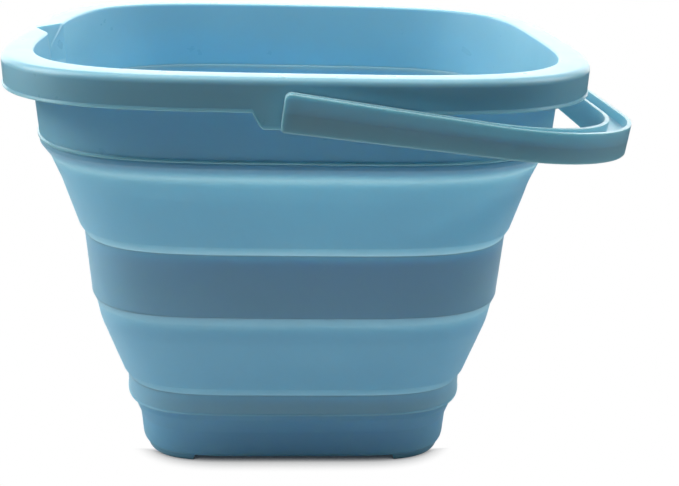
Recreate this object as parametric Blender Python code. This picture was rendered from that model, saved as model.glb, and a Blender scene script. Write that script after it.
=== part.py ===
"""Collapsible square tub with a swinging carry handle, standing open.

Metres, +Z up. The origin is the centre of the base panel's underside, and the four feet stand
just below it. -Y is the front, -X is the side with the pouring notch, and the handle lies folded
down on the +X side. Every wall is a closed profile carried round a superellipse outline.
"""

import math

import bmesh
import bpy
import numpy as np
from mathutils import Matrix, Vector

# Outline, seen from above
RIM_WIDTH = 0.300
RIM_SQUARENESS = 3.8
MIDDLE_SQUARENESS = 4.5
LOWER_SQUARENESS = 4.9
BASE_SQUARENESS = 5.5
QUARTER_STEPS = 16
CORNER_CROWDING = 0.06

# Clearances
SEAT_GAP = 0.0003
ARM_GAP = 0.0006
GRIP_GAP = 0.0040
STUD_GAP = 0.0003
CUT_MARGIN = 0.002
MERGE_DISTANCE = 0.00001
GENTLE_TURN = math.radians(40)

# Rim frame: skirt, rolled top, upper band
RIM_TOP_WIDTH = 0.0147
RIM_EDGE_RADIUS = 0.0035
RIM_INNER_RADIUS = 0.0012
RIM_WALL = 0.0022
SKIRT_HEIGHT = 0.0154
UPPER_BAND_HEIGHT = 0.0270
UPPER_BAND_WALL = 0.0022
UPPER_BAND_DRAFT = 0.0025
UPPER_LIP = 0.0006
UPPER_LIP_HEIGHT = 0.0012

# Pivot tabs, front and rear
TAB_DROP = 0.0075
TAB_TOP_WIDTH = 0.043
TAB_BOTTOM_WIDTH = 0.032
TAB_EDGE_STEPS = 4
PIVOT_ABOVE_SKIRT = 0.0006

# Pouring notch in the -X side
NOTCH_DEPTH = 0.0105
NOTCH_WIDTH = 0.042
NOTCH_KNEE_DROP = 0.020
NOTCH_KNEE_DEPTH = 0.0092
NOTCH_END_DROP = 0.037

# Upper folding wall
UPPER_FOLD_HEIGHT = 0.0521
UPPER_FOLD_STEP = 0.0202
UPPER_SHOULDER_DROP = 0.0062
UPPER_SHOULDER_STEP = 0.0046
UPPER_WAIST_DROP = 0.0187
UPPER_WAIST_STEP = 0.0097
UPPER_CUFF_HEIGHT = 0.0054
UPPER_CUFF_WALL = 0.0026
UPPER_FOLD_LIP = 0.0026

# Lower folding wall
LOWER_FOLD_HEIGHT = 0.0520
LOWER_FOLD_STEP = 0.0170
LOWER_SHOULDER_DROP = 0.0050
LOWER_SHOULDER_STEP = 0.0020
LOWER_WAIST_DROP = 0.0155
LOWER_WAIST_STEP = 0.0039

# Shape of both folding walls
FOLD_WALL = 0.0020
HEEL_RISE = 0.0052
HEEL_STEP = 0.0027
FOLD_RADIUS = 0.0035

# Middle band
MIDDLE_BAND_HEIGHT = 0.0339
MIDDLE_BAND_WALL = 0.0030
MIDDLE_BAND_DRAFT = 0.0024
BAND_EDGE_RADIUS = 0.0007

# Lower band, which grips the base tray's wall
LOWER_BAND_HEIGHT = 0.0118
LOWER_BAND_WALL = 0.0026
LOWER_BAND_DRAFT = 0.0003

# Base tray
TRAY_WALL = 0.0022
TRAY_PANEL = 0.0022
TRAY_GRIP_HEIGHT = 0.0106
TRAY_SLOPE_HEIGHT = 0.0178
TRAY_SLOPE_STEP = 0.0023
TRAY_FOOT_BAND_HEIGHT = 0.0120
TRAY_FOOT_BAND_DRAFT = 0.0036
TRAY_OUTER_RADIUS = 0.0040
TRAY_INNER_RADIUS = 0.0045
TRAY_BEND_RADIUS = 0.0120

# Feet
FOOT_HEIGHT = 0.0030
FOOT_LENGTH = 0.022
FOOT_SET_BACK = 0.0085
FOOT_TAPER = 0.0020
FOOT_STEPS = 8

# Carry handle, a bar with a pocket in each broad side
HANDLE_DROOP = math.radians(7.0)
ARM_HEIGHT = 0.0172
GRIP_HEIGHT = 0.0144
ARM_THICKNESS = 0.0066
GRIP_THICKNESS = 0.0134
ARM_OVERRUN = 0.0080
ARM_END_TOP_RADIUS = 0.0030
ARM_END_BOTTOM_RADIUS = 0.0017
HANDLE_OUTER_RADIUS = 0.077
HANDLE_FLANGE = 0.0022
HANDLE_WEB = 0.0050
HANDLE_EDGE_RADIUS = 0.0006
ARM_STEPS = 5
CORNER_STEPS = 12
END_STEPS = 2
STUD_RADIUS = 0.0035
STUD_HEAD_RADIUS = 0.0050
STUD_HEAD_LENGTH = 0.0020
STUD_SIDES = 24

# Levels, from the base up
GRIP_BOTTOM_Z = TRAY_FOOT_BAND_HEIGHT + TRAY_SLOPE_HEIGHT
LOWER_BAND_TOP_Z = GRIP_BOTTOM_Z + LOWER_BAND_HEIGHT
MIDDLE_BOTTOM_Z = LOWER_BAND_TOP_Z + LOWER_FOLD_HEIGHT
MIDDLE_TOP_Z = MIDDLE_BOTTOM_Z + MIDDLE_BAND_HEIGHT
UPPER_BOTTOM_Z = MIDDLE_TOP_Z + UPPER_FOLD_HEIGHT
SKIRT_BOTTOM_Z = UPPER_BOTTOM_Z + UPPER_BAND_HEIGHT
RIM_TOP_Z = SKIRT_BOTTOM_Z + SKIRT_HEIGHT
PIVOT_Z = SKIRT_BOTTOM_Z + PIVOT_ABOVE_SKIRT

# Half widths, from the rim in
RIM_HALF = RIM_WIDTH / 2
RIM_INNER_HALF = RIM_HALF - RIM_TOP_WIDTH
UPPER_TOP_HALF = RIM_INNER_HALF + UPPER_BAND_WALL
UPPER_BOTTOM_HALF = UPPER_TOP_HALF - UPPER_BAND_DRAFT
MIDDLE_TOP_HALF = UPPER_BOTTOM_HALF - UPPER_FOLD_STEP
MIDDLE_BOTTOM_HALF = MIDDLE_TOP_HALF - MIDDLE_BAND_DRAFT
LOWER_TOP_HALF = MIDDLE_BOTTOM_HALF - LOWER_FOLD_STEP
LOWER_BOTTOM_HALF = LOWER_TOP_HALF - LOWER_BAND_DRAFT
TRAY_TOP_HALF = LOWER_BOTTOM_HALF - LOWER_BAND_WALL - SEAT_GAP
TRAY_BEND_HALF = TRAY_TOP_HALF - TRAY_SLOPE_STEP
TRAY_BOTTOM_HALF = TRAY_BEND_HALF - TRAY_FOOT_BAND_DRAFT

# Handle, measured from its pivot
ARM_INNER_Y = RIM_HALF + ARM_GAP
ARM_OUTER_Y = ARM_INNER_Y + ARM_THICKNESS
GRIP_INNER_X = RIM_HALF + GRIP_GAP
GRIP_OUTER_X = GRIP_INNER_X + GRIP_THICKNESS


def clear_scene():
    for obj in list(bpy.data.objects):
        bpy.data.objects.remove(obj)


def make_material(name, colour, roughness):
    material = bpy.data.materials.new(name)
    material.use_nodes = True
    shader = material.node_tree.nodes["Principled BSDF"]
    shader.inputs["Base Color"].default_value = (*colour, 1.0)
    shader.inputs["Roughness"].default_value = roughness
    shader.inputs["Metallic"].default_value = 0.0
    return material


def carrier(name, location, parent=None):
    """An empty that a body hangs on, with its origin on the body's joint axis."""
    empty = bpy.data.objects.new(name, None)
    empty.location = location
    empty.parent = parent
    bpy.context.scene.collection.objects.link(empty)
    return empty


def add_object(bm, name, material, parent):
    bmesh.ops.recalc_face_normals(bm, faces=bm.faces[:])
    mesh = bpy.data.meshes.new(name)
    bm.to_mesh(mesh)
    bm.free()
    mesh.materials.append(material)
    mesh.shade_smooth()
    mesh.set_sharp_from_angle(angle=math.radians(30))
    obj = bpy.data.objects.new(name, mesh)
    obj.parent = parent
    bpy.context.scene.collection.objects.link(obj)
    return obj


def add_guide(bm, name, parent):
    """A hidden shape that a Boolean cuts with or joins on."""
    guide = add_object(bm, name, None, parent)
    guide.hide_render = True
    guide.display_type = "WIRE"
    return guide


def add_boolean(target, guide, operation):
    modifier = target.modifiers.new(guide.name, "BOOLEAN")
    modifier.operation = operation
    modifier.solver = "EXACT"
    modifier.object = guide


def skin(bm, rings, closed):
    """Extrudes the first ring of points through the others, and back to it or capped at both ends."""
    place = bm.verts.layers.int.new("place")
    ring = []
    for index, point in enumerate(rings[0]):
        vert = bm.verts.new(point)
        vert[place] = index
        ring.append(vert)
    edges = [bm.edges.new((ring[k - 1], ring[k])) for k in range(len(ring))]
    for points in rings[1:] + (rings[:1] if closed else []):
        made = bmesh.ops.extrude_edge_only(bm, edges=edges)["geom"]
        for vert in made:
            if isinstance(vert, bmesh.types.BMVert):
                vert.co = points[vert[place]]
        edges = [e for e in made if isinstance(e, bmesh.types.BMEdge) and e.is_boundary]
    bmesh.ops.remove_doubles(bm, verts=bm.verts[:], dist=MERGE_DISTANCE)
    if not closed:
        rims = [edge for edge in bm.edges if edge.is_boundary]
        bmesh.ops.holes_fill(bm, edges=rims, sides=0)


def squareness(half):
    """Exponent of the outline at a half width: corners get squarer towards the base."""
    halves = (TRAY_BOTTOM_HALF, LOWER_BOTTOM_HALF, MIDDLE_BOTTOM_HALF, UPPER_BOTTOM_HALF)
    powers = (BASE_SQUARENESS, LOWER_SQUARENESS, MIDDLE_SQUARENESS, RIM_SQUARENESS)
    return float(np.interp(half, halves, powers))


def outline_point(half, angle):
    power = squareness(half)
    along_x = abs(math.cos(angle)) ** power
    along_y = abs(math.sin(angle)) ** power
    radius = half * (along_x + along_y) ** (-1.0 / power)
    return radius * math.cos(angle), radius * math.sin(angle)


def plan_angles():
    """Angles round the outline, closer together at the corners than along the sides."""
    angles = []
    for step in range(4 * QUARTER_STEPS):
        turn = step / QUARTER_STEPS
        crowd = CORNER_CROWDING * math.sin(2 * math.pi * turn)
        angles.append((turn + crowd) * math.pi / 2)
    return angles


def tab_offsets():
    """Places across one pivot tab where its lower edge bends."""
    top = TAB_TOP_WIDTH / 2
    bottom = TAB_BOTTOM_WIDTH / 2
    run = [top + (bottom - top) * step / TAB_EDGE_STEPS for step in range(TAB_EDGE_STEPS + 1)]
    return [-x for x in run] + [0.0] + run[::-1]


def rim_angles():
    """The outline's angles, with those across the front and rear tabs set to the tab's bends."""
    tab_reach = math.atan2(TAB_TOP_WIDTH / 2 + CUT_MARGIN, RIM_HALF)
    angles = []
    for angle in plan_angles():
        from_front = abs(math.remainder(angle - math.pi / 2, math.pi))
        if from_front > tab_reach:
            angles.append(angle)
    for offset in tab_offsets():
        angles.append(math.pi / 2 + math.atan2(offset, RIM_HALF))
        angles.append(3 * math.pi / 2 + math.atan2(offset, RIM_HALF))
    return sorted(angles)


def tab_drop(x):
    """How far the skirt's lower edge hangs down at a distance from the pivot."""
    slope = (TAB_TOP_WIDTH - TAB_BOTTOM_WIDTH) / 2
    share = min(max((TAB_TOP_WIDTH / 2 - abs(x)) / slope, 0.0), 1.0)
    return TAB_DROP * share * share * (3 - 2 * share)


def filleted(corners):
    """A closed profile of (half width, height) points, from corners with their radii.

    A gentle turn is cut once and a sharper one twice.
    """
    points = []
    count = len(corners)
    for index, (half, height, radius) in enumerate(corners):
        here = Vector((half, height))
        before = Vector(corners[index - 1][:2]) - here
        after = Vector(corners[(index + 1) % count][:2]) - here
        opening = before.angle(after)
        if radius <= 0 or opening > math.radians(179):
            points.append(here)
            continue
        reach = min(radius / math.tan(opening / 2), 0.45 * before.length, 0.45 * after.length)
        radius = reach * math.tan(opening / 2)
        start = here + before.normalized() * reach
        middle = (before.normalized() + after.normalized()).normalized()
        centre = here + middle * (radius / math.sin(opening / 2))
        arm = start - centre
        turn = math.pi - opening
        steps = 1 if turn < GENTLE_TURN else 2
        side = 1 if arm.cross(here + after.normalized() * reach - centre) > 0 else -1
        for step in range(steps + 1):
            swing = Matrix.Rotation(side * turn * step / steps, 2)
            points.append(centre + swing @ arm)
    return points


def loft(points, angles, datum, drop=None, closed=True):
    """Carries a profile of (half width, height) points round the outline, above the datum."""
    rings = []
    for index, (half, height) in enumerate(points):
        ring = []
        for angle in angles:
            x, y = outline_point(half, angle)
            hang = drop(index, x) if drop else 0.0
            ring.append((x, y, height - hang - datum))
        rings.append(ring)
    bm = bmesh.new()
    skin(bm, rings, closed)
    return bm


def rim_corners():
    """The rim frame's section, from the skirt's foot over the top and down the upper band."""
    under_top = RIM_TOP_Z - RIM_WALL
    skirt_inner = RIM_HALF - RIM_WALL
    inner_bottom = UPPER_BOTTOM_HALF - UPPER_BAND_WALL
    lip_half = UPPER_BOTTOM_HALF + UPPER_LIP
    lip_top = UPPER_BOTTOM_Z + UPPER_LIP_HEIGHT
    return [
        (skirt_inner, SKIRT_BOTTOM_Z, 0.0),
        (RIM_HALF, SKIRT_BOTTOM_Z, 0.0),
        (RIM_HALF, RIM_TOP_Z, RIM_EDGE_RADIUS),
        (RIM_INNER_HALF, RIM_TOP_Z, RIM_INNER_RADIUS),
        (inner_bottom, UPPER_BOTTOM_Z, 0.0),
        (lip_half, UPPER_BOTTOM_Z, 0.0),
        (lip_half, lip_top, 0.0),
        (UPPER_BOTTOM_HALF, lip_top + UPPER_LIP, 0.0),
        (UPPER_TOP_HALF, under_top, 0.0),
        (skirt_inner, under_top, 0.0),
    ]


def notch_wedge(name, back, thickness, start_drop, parent):
    """A wedge along the pouring notch, ending in a sloping floor.

    Its flat back stands off the band's inner face by `back`, and its other faces stand off the
    notch's own by `thickness`.
    """
    slope = NOTCH_WIDTH / 2 / NOTCH_DEPTH
    growth = thickness * math.hypot(1, slope) / slope
    draft = UPPER_BAND_DRAFT / (RIM_TOP_Z - UPPER_BOTTOM_Z)
    bm = bmesh.new()
    for drop, depth in ((start_drop, NOTCH_DEPTH), (NOTCH_KNEE_DROP, NOTCH_KNEE_DEPTH)):
        plane = back + RIM_INNER_HALF - draft * drop
        reach = depth + growth - back
        height = RIM_TOP_Z - drop - UPPER_BOTTOM_Z
        bm.verts.new((-(plane + reach), 0.0, height))
        bm.verts.new((-plane, -reach * slope, height))
        bm.verts.new((-plane, reach * slope, height))
    plane = back + RIM_INNER_HALF - draft * NOTCH_END_DROP
    bm.verts.new((-plane, 0.0, RIM_TOP_Z - NOTCH_END_DROP - UPPER_BOTTOM_Z))
    bmesh.ops.convex_hull(bm, input=bm.verts[:])
    return add_guide(bm, name, parent)


def turned(name, profile, height, side, parent):
    """A round shape about the pivot axis, from (radius, distance out along it) points."""
    bm = bmesh.new()
    verts = [bm.verts.new((radius, side * out, 0.0)) for radius, out in profile]
    edges = [bm.edges.new(pair) for pair in zip(verts[:-1], verts[1:])]
    bmesh.ops.spin(
        bm,
        geom=verts + edges,
        cent=(0.0, 0.0, 0.0),
        axis=(0.0, 1.0, 0.0),
        angle=math.tau,
        steps=STUD_SIDES,
        use_merge=True,
    )
    bmesh.ops.remove_doubles(bm, verts=bm.verts[:], dist=MERGE_DISTANCE)
    bmesh.ops.translate(bm, verts=bm.verts[:], vec=(0.0, 0.0, height))
    return add_guide(bm, name, parent)


def build_rim_frame(material, parent):
    def hang(index, x):
        return tab_drop(x) if index < 2 else 0.0

    bm = loft(filleted(rim_corners()), rim_angles(), UPPER_BOTTOM_Z, hang)
    rim = add_object(bm, "rim_frame", material, parent)
    bulge = notch_wedge("notch_bulge", UPPER_BAND_WALL / 2, RIM_WALL, RIM_WALL / 2, parent)
    add_boolean(rim, bulge, "UNION")
    notch = notch_wedge("notch_cut", -CUT_MARGIN, 0.0, -CUT_MARGIN, parent)
    add_boolean(rim, notch, "DIFFERENCE")
    radius = STUD_RADIUS + STUD_GAP
    start = RIM_HALF - RIM_WALL - CUT_MARGIN
    end = RIM_HALF + CUT_MARGIN
    profile = [(0.0, start), (radius, start), (radius, end), (0.0, end)]
    for side, label in ((-1, "front"), (1, "rear")):
        hole = turned(label + "_pivot_hole", profile, PIVOT_Z - UPPER_BOTTOM_Z, side, parent)
        add_boolean(rim, hole, "DIFFERENCE")
    return rim


def fold_wall(top_half, bottom_half, top, bottom, bends):
    """Outer corners of a folding wall, going down to its heel.

    The bends are the shoulder and the waist, each as (step in, drop) from the top.
    """
    return [
        (top_half, top, BAND_EDGE_RADIUS),
        *((top_half - step, top - drop, FOLD_RADIUS) for step, drop in bends),
        (bottom_half + HEEL_STEP, bottom + HEEL_RISE, FOLD_RADIUS),
        (bottom_half, bottom, 0.0),
    ]


def inner_side(outer, wall):
    """The same corners a wall's thickness further in, going back up."""
    return [(half - wall, height, radius) for half, height, radius in reversed(outer)]


def build_upper_fold(material, parent):
    """The upper folding wall, with the cuff that lines the foot of the rim frame's band."""
    cuff_outer = UPPER_BOTTOM_HALF - UPPER_BAND_WALL - SEAT_GAP
    cuff_top = UPPER_BOTTOM_Z + UPPER_CUFF_HEIGHT
    seat = UPPER_BOTTOM_Z - SEAT_GAP
    shoulder_top = seat - UPPER_FOLD_LIP
    bottom = MIDDLE_TOP_Z + SEAT_GAP
    bends = [(UPPER_SHOULDER_STEP, UPPER_SHOULDER_DROP), (UPPER_WAIST_STEP, UPPER_WAIST_DROP)]
    outer = fold_wall(UPPER_BOTTOM_HALF, MIDDLE_TOP_HALF, shoulder_top, bottom, bends)
    inner = inner_side(outer, FOLD_WALL)
    inner[-1] = (cuff_outer - UPPER_CUFF_WALL, shoulder_top, FOLD_RADIUS)
    cuff = [
        (cuff_outer - UPPER_CUFF_WALL, cuff_top - UPPER_CUFF_WALL, 0.0),
        (cuff_outer, cuff_top, 0.0),
        (cuff_outer, seat, 0.0),
        (UPPER_BOTTOM_HALF, seat, BAND_EDGE_RADIUS),
    ]
    points = filleted(outer + inner + cuff)
    bm = loft(points, plan_angles(), MIDDLE_BOTTOM_Z)
    return add_object(bm, "upper_fold", material, parent)


def build_lower_fold(material, parent):
    top = MIDDLE_BOTTOM_Z - SEAT_GAP
    bottom = LOWER_BAND_TOP_Z + SEAT_GAP
    bends = [(LOWER_SHOULDER_STEP, LOWER_SHOULDER_DROP), (LOWER_WAIST_STEP, LOWER_WAIST_DROP)]
    outer = fold_wall(MIDDLE_BOTTOM_HALF, LOWER_TOP_HALF, top, bottom, bends)
    points = filleted(outer + inner_side(outer, FOLD_WALL))
    bm = loft(points, plan_angles(), 0.0)
    return add_object(bm, "lower_fold", material, parent)


def band_corners(top_half, bottom_half, top, bottom, wall):
    """An upright band's section, with its outer edges slightly rounded."""
    return [
        (bottom_half, bottom, BAND_EDGE_RADIUS),
        (top_half, top, BAND_EDGE_RADIUS),
        (top_half - wall, top, 0.0),
        (bottom_half - wall, bottom, 0.0),
    ]


def build_middle_band(material, parent):
    corners = band_corners(
        MIDDLE_TOP_HALF, MIDDLE_BOTTOM_HALF, MIDDLE_TOP_Z, MIDDLE_BOTTOM_Z, MIDDLE_BAND_WALL
    )
    bm = loft(filleted(corners), plan_angles(), MIDDLE_BOTTOM_Z)
    return add_object(bm, "middle_band", material, parent)


def build_lower_band(material, parent):
    """The collar round the tray's wall. It stands on the shoulder where the tray steps out."""
    corners = band_corners(
        LOWER_TOP_HALF, LOWER_BOTTOM_HALF, LOWER_BAND_TOP_Z, GRIP_BOTTOM_Z, LOWER_BAND_WALL
    )
    bm = loft(filleted(corners), plan_angles(), 0.0)
    return add_object(bm, "lower_band", material, parent)


def tray_corners():
    """The tray's section, from under the panel's middle out, up the wall and back over it."""
    top = GRIP_BOTTOM_Z + TRAY_GRIP_HEIGHT
    return [
        (TRAY_BOTTOM_HALF / 2, 0.0, 0.0),
        (TRAY_BOTTOM_HALF, 0.0, TRAY_OUTER_RADIUS),
        (TRAY_BEND_HALF, TRAY_FOOT_BAND_HEIGHT, TRAY_BEND_RADIUS),
        (TRAY_TOP_HALF, GRIP_BOTTOM_Z, TRAY_BEND_RADIUS),
        (TRAY_TOP_HALF, top, 0.0),
        (TRAY_TOP_HALF - TRAY_WALL, top, 0.0),
        (TRAY_TOP_HALF - TRAY_WALL, GRIP_BOTTOM_Z, TRAY_BEND_RADIUS),
        (TRAY_BEND_HALF - TRAY_WALL, TRAY_FOOT_BAND_HEIGHT, TRAY_BEND_RADIUS),
        (TRAY_BOTTOM_HALF - TRAY_WALL, TRAY_PANEL, TRAY_INNER_RADIUS),
        (TRAY_BOTTOM_HALF / 2, TRAY_PANEL, 0.0),
    ]


def build_tray(material, parent):
    bm = loft(filleted(tray_corners()), plan_angles(), 0.0, closed=False)
    tray = add_object(bm, "base_tray", material, parent)
    add_boolean(tray, build_feet(parent), "UNION")
    return tray


def build_feet(parent):
    """Four corner feet, each one corner of the underside's outline with slanted sides."""
    bm = bmesh.new()
    half = TRAY_BOTTOM_HALF - FOOT_SET_BACK
    start = half - FOOT_LENGTH
    for quarter in range(4):
        turn = Matrix.Rotation(quarter * math.pi / 2, 3, "Z")
        rings = []
        for height, growth in ((-FOOT_HEIGHT, 0.0), (TRAY_PANEL / 2, FOOT_TAPER)):
            inner = start - growth
            outer = half + growth
            first = math.atan2(inner, outer)
            sweep = math.pi / 2 - 2 * first
            ring = [Vector((inner, inner, height))]
            for step in range(FOOT_STEPS + 1):
                x, y = outline_point(outer, first + sweep * step / FOOT_STEPS)
                ring.append(Vector((x, y, height)))
            rings.append([turn @ point for point in ring])
        skin(bm, rings, closed=False)
    return add_guide(bm, "feet", parent)


def corner_cut(distance, radius):
    """How much a rounded corner takes off at a distance from the end."""
    short = max(radius - distance, 0.0)
    return radius - math.sqrt(radius * radius - short * short)


def arm_end_stations():
    """Stations at the front arm's free end, where the pocket starts behind an end wall."""
    radius = ARM_END_TOP_RADIUS
    swings = [math.pi / 2 * step / END_STEPS for step in range(END_STEPS + 1)]
    solid = [radius * (1 - math.cos(swing)) for swing in swings]
    places = [(distance, distance > HANDLE_FLANGE) for distance in solid]
    places += [(HANDLE_FLANGE, False), (HANDLE_FLANGE, True)]
    stations = []
    for distance, pocket in sorted(places):
        low = -ARM_HEIGHT / 2 + corner_cut(distance, ARM_END_BOTTOM_RADIUS)
        high = ARM_HEIGHT / 2 - corner_cut(distance, radius)
        x = distance - ARM_OVERRUN
        stations.append((Vector((x, -ARM_OUTER_Y)), Vector((x, -ARM_INNER_Y)), low, high, pocket))
    return stations


def quarter_turn(centre, radius, step):
    swing = math.pi / 2 * step / CORNER_STEPS
    return centre + radius * Vector((math.sin(swing), -math.cos(swing)))


def handle_stations():
    """Places along the handle from the front arm's end to the rear arm's.

    Each is (outer point, inner point, low, high, whether it has pockets). The outer and inner
    sides run straight along the arm, round a corner of their own and straight along the grip,
    so the bar grows from the arm's thickness to the grip's.
    """
    inner_radius = HANDLE_OUTER_RADIUS - ARM_THICKNESS
    outer_centre = Vector((GRIP_OUTER_X, -ARM_OUTER_Y)) + Vector((-1, 1)) * HANDLE_OUTER_RADIUS
    inner_centre = Vector((GRIP_INNER_X, -ARM_INNER_Y)) + Vector((-1, 1)) * inner_radius
    half = arm_end_stations()
    start_outer, start_inner = half[-1][:2]
    low = -GRIP_HEIGHT / 2
    high = GRIP_HEIGHT / 2
    for step in range(1, ARM_STEPS):
        share = step / ARM_STEPS
        outer = start_outer.lerp(quarter_turn(outer_centre, HANDLE_OUTER_RADIUS, 0), share)
        inner = start_inner.lerp(quarter_turn(inner_centre, inner_radius, 0), share)
        tall = ARM_HEIGHT + (GRIP_HEIGHT - ARM_HEIGHT) * share
        half.append((outer, inner, -tall / 2, tall / 2, True))
    for step in range(CORNER_STEPS + 1):
        outer = quarter_turn(outer_centre, HANDLE_OUTER_RADIUS, step)
        inner = quarter_turn(inner_centre, inner_radius, step)
        half.append((outer, inner, low, high, True))
    half.append((Vector((GRIP_OUTER_X, 0.0)), Vector((GRIP_INNER_X, 0.0)), low, high, True))
    mirrored = []
    for outer, inner, low, high, pocket in reversed(half[:-1]):
        over = Vector((1, -1))
        mirrored.append((outer * over, inner * over, low, high, pocket))
    return half + mirrored


def handle_section(outer, inner, low, high, pocket):
    """An H on its side: two upright flanges and a web, or a plain bar where it has no pockets."""
    across = (inner - outer).normalized() * HANDLE_FLANGE
    top = HANDLE_WEB / 2 if pocket else high
    bottom = -HANDLE_WEB / 2 if pocket else low
    places = [
        (outer, low),
        (outer, high),
        (outer + across, high),
        (outer + across, top),
        (inner - across, top),
        (inner - across, high),
        (inner, high),
        (inner, low),
        (inner - across, low),
        (inner - across, bottom),
        (outer + across, bottom),
        (outer + across, low),
    ]
    return [Vector((*place, height)) for place, height in places]


def build_handle(material, parent):
    bm = bmesh.new()
    skin(bm, [handle_section(*station) for station in handle_stations()], closed=False)
    handle = add_object(bm, "carry_handle", material, parent)
    rounding = handle.modifiers.new("edges", "BEVEL")
    rounding.width = HANDLE_EDGE_RADIUS
    rounding.segments = 1
    rounding.limit_method = "ANGLE"
    rounding.angle_limit = math.radians(60)
    shoulder = RIM_HALF - RIM_WALL - SEAT_GAP
    end = shoulder - STUD_HEAD_LENGTH
    root = ARM_INNER_Y + HANDLE_FLANGE / 2
    profile = [
        (0.0, end),
        (STUD_HEAD_RADIUS, end),
        (STUD_HEAD_RADIUS, shoulder),
        (STUD_RADIUS, shoulder),
        (STUD_RADIUS, root),
        (0.0, root),
    ]
    for side, label in ((-1, "front"), (1, "rear")):
        stud = turned(label + "_stud", profile, 0.0, side, parent)
        add_boolean(handle, stud, "UNION")
    return handle


def build():
    clear_scene()
    rigid = (0.074, 0.285, 0.402)
    soft = (0.089, 0.319, 0.431)
    base = carrier("base_body", (0.0, 0.0, 0.0))
    middle = carrier("middle_body", (0.0, 0.0, MIDDLE_BOTTOM_Z), base)
    rim = carrier("rim_body", (0.0, 0.0, UPPER_BOTTOM_Z - MIDDLE_BOTTOM_Z), middle)
    pivot = carrier("handle_pivot", (0.0, 0.0, PIVOT_Z - UPPER_BOTTOM_Z), rim)
    pivot.rotation_euler = (0.0, HANDLE_DROOP, 0.0)
    build_tray(make_material("tray_plastic", rigid, 0.42), base)
    build_lower_band(make_material("lower_band_elastomer", soft, 0.55), base)
    build_lower_fold(make_material("lower_fold_elastomer", soft, 0.55), base)
    build_middle_band(make_material("middle_band_elastomer", soft, 0.55), middle)
    build_upper_fold(make_material("upper_fold_elastomer", soft, 0.55), middle)
    build_rim_frame(make_material("rim_plastic", rigid, 0.38), rim)
    build_handle(make_material("handle_plastic", rigid, 0.38), pivot)


build()
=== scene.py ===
"""The looks of the collapsible tub: pastel blue polypropylene and elastomer on a white table.

Metres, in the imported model's frame: +Z up, -Y the front, -X the side with the pouring notch.
Every wall is a section carried round a superellipse outline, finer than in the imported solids.
The sizes are mostly theirs. The tray's lower wall and feet are nearer the photo, and the fine
flares, lips, hinges and crease are only here.
"""

import math

import bmesh
import bpy
import numpy as np
from mathutils import Matrix, Vector


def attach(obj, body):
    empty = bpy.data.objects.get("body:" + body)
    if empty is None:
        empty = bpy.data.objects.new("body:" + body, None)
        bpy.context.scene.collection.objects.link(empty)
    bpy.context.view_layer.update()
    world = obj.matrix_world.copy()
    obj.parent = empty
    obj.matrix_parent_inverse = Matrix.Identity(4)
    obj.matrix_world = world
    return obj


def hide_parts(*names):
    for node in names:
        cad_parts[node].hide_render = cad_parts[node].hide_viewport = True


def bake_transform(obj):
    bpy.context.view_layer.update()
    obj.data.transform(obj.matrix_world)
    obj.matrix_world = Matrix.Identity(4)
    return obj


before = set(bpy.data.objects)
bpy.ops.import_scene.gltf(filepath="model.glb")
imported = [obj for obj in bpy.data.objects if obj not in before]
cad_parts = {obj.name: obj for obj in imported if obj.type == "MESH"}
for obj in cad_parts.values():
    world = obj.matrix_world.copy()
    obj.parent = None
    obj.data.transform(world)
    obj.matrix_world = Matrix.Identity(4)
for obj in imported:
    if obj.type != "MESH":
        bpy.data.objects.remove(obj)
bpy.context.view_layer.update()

# Outline, seen from above: half widths and how square each one is
OUTLINE_HALVES = (0.0863, 0.0951, 0.1124, 0.1350)
OUTLINE_POWERS = (5.5, 4.9, 4.5, 3.8)
QUARTER_STEPS = 48
CORNER_CROWDING = 0.06
MERGE_DISTANCE = 0.000005
SHARP_ANGLE = math.radians(35)
STRAIGHT_ANGLE = math.radians(179)
FILLET_LIMIT = 0.48
FINE_RADIUS = 0.0004
SEAT_GAP = 0.0003
PROFILE_STEP = 0.0015
CUT_MARGIN = 0.002

# Rim
RIM_HALF = 0.150
RIM_INNER_HALF = 0.1353
RIM_TOP_Z = 0.222
RIM_WALL = 0.0022
RIM_EDGE_RADIUS = 0.0035
RIM_INNER_RADIUS = 0.0014
UNDER_RIM_RADIUS = 0.0012
RIM_BEVEL = 0.00045
SKIRT_BOTTOM_Z = 0.2066
BAND_TOP_HALF = 0.1375
BAND_BOTTOM_HALF = 0.1350
BAND_BOTTOM_Z = 0.1796
BAND_WALL = 0.0022
SKIRT_FLARE = 0.0004
SKIRT_FLARE_HEIGHT = 0.0016
LIP = 0.0007
LIP_HEIGHT = 0.0008
TAB_DROP = 0.0075
TAB_TOP_WIDTH = 0.0434
TAB_BOTTOM_WIDTH = 0.0324
TAB_STEPS = 12
TAB_EASE = 0.75
TAB_MARGIN = 0.001
TAB_HANG_HEIGHT = 0.002
TAB_MIDDLE_OFFSETS = (0.004, 0.008, 0.012)
PIVOT_Z = 0.2072

# Pouring notch
NOTCH_DEPTH = 0.0105
NOTCH_WIDTH = 0.042
NOTCH_KNEE_DROP = 0.020
NOTCH_KNEE_DEPTH = 0.0092
NOTCH_END_DROP = 0.037

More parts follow.
